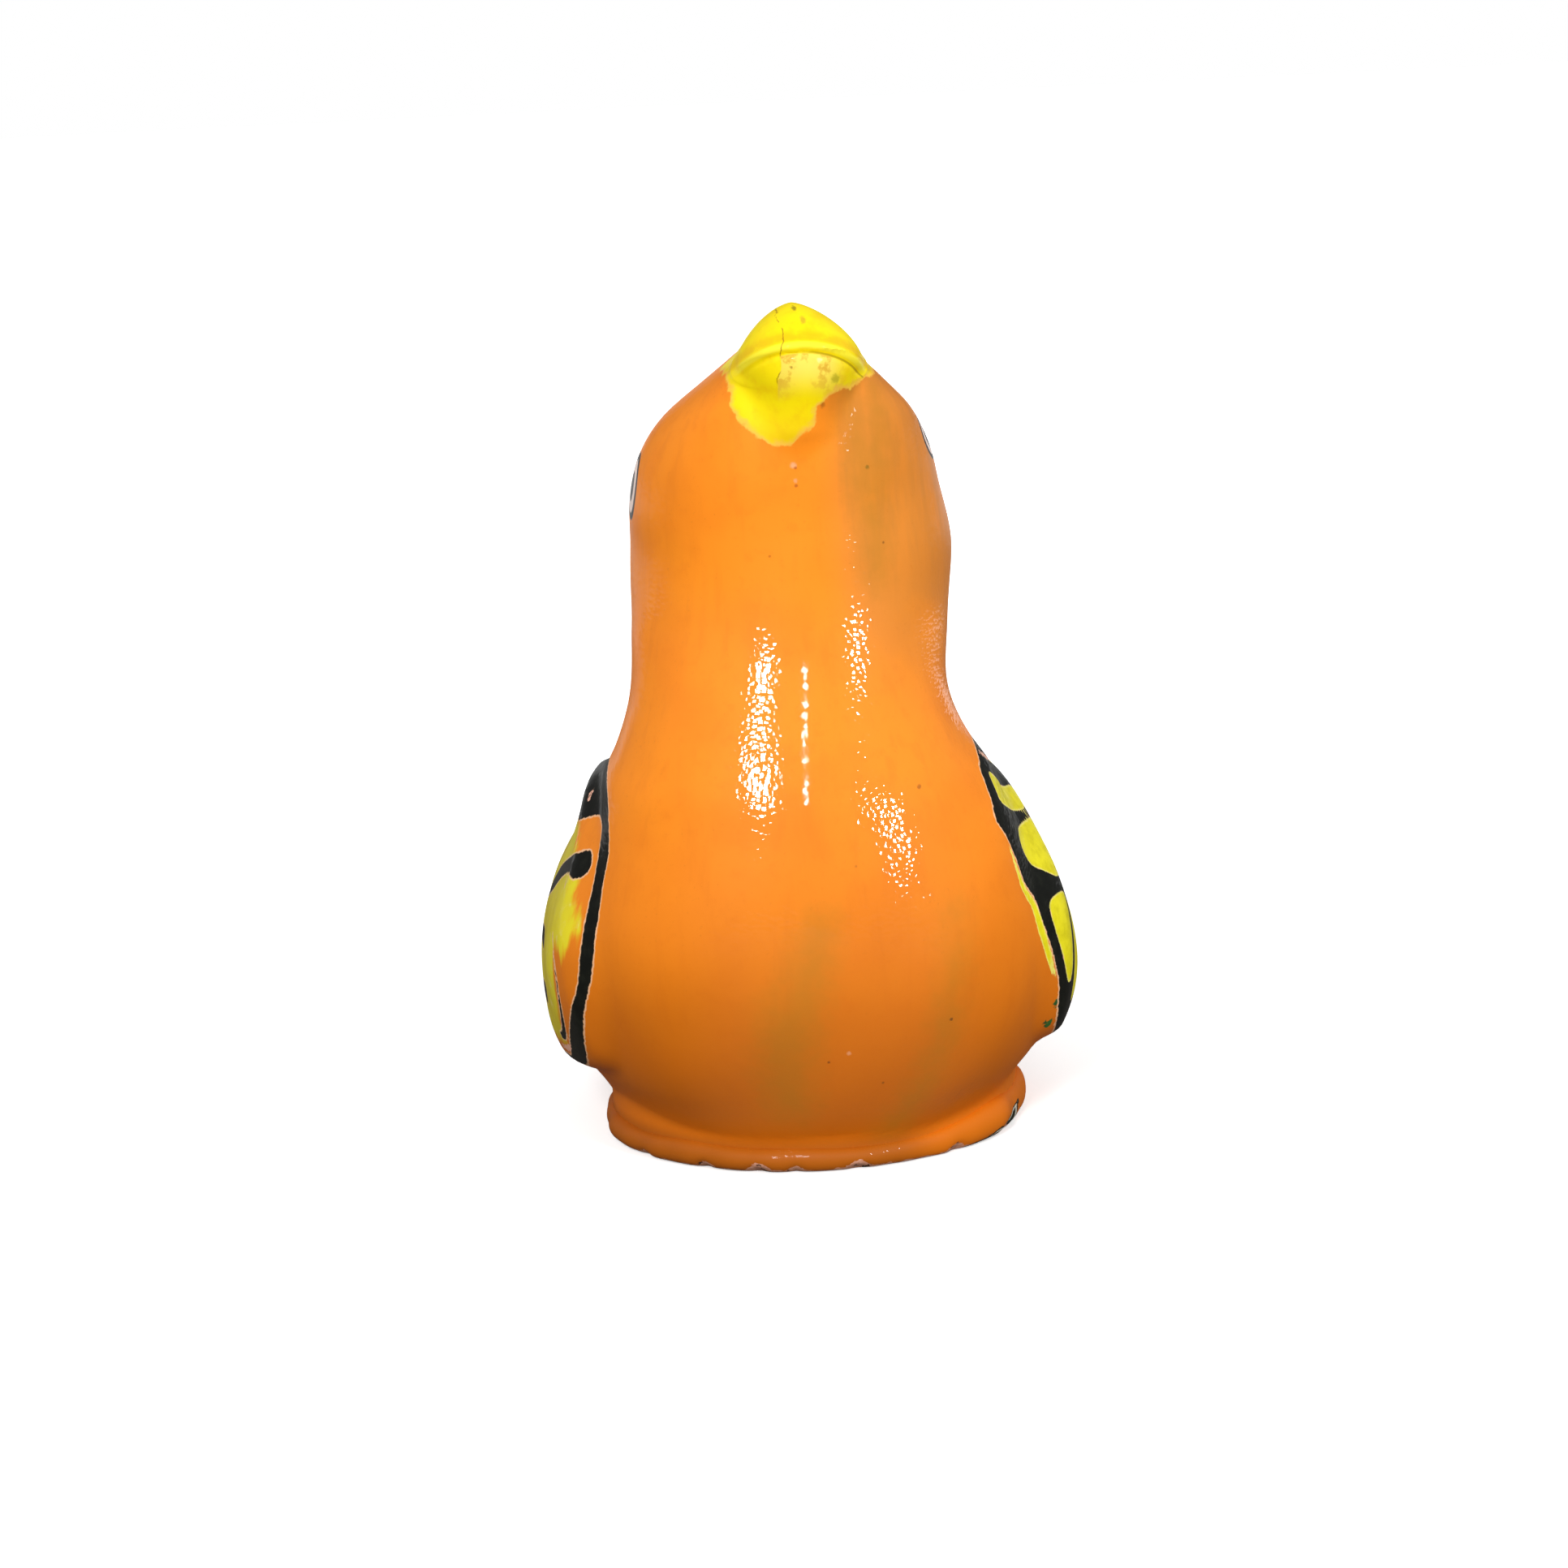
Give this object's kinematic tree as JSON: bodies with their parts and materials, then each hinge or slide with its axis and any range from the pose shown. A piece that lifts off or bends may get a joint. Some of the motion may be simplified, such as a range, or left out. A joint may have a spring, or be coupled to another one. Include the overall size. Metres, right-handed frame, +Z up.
{
  "type": "bird whistle",
  "caption": "Small bird-shaped clay whistle with a raised bill, folded wings, an oval foot and a tail that is the mouthpiece; the window is under the rump.",
  "frame": {"origin": "centre of the foot's flat underside", "axes": "+Z up; the bill and breast face -Y, the tail and mouthpiece point to +Y, +X is to the right of someone who faces the breast"},
  "size_m": [0.0364, 0.0594, 0.0565],
  "materials": {
    "painted_clay": "fired clay under orange, yellow and black paint and a glossy varnish"
  },
  "bodies": {
    "root": {"whistle_body": "painted_clay"}
  },
  "joints": []
}
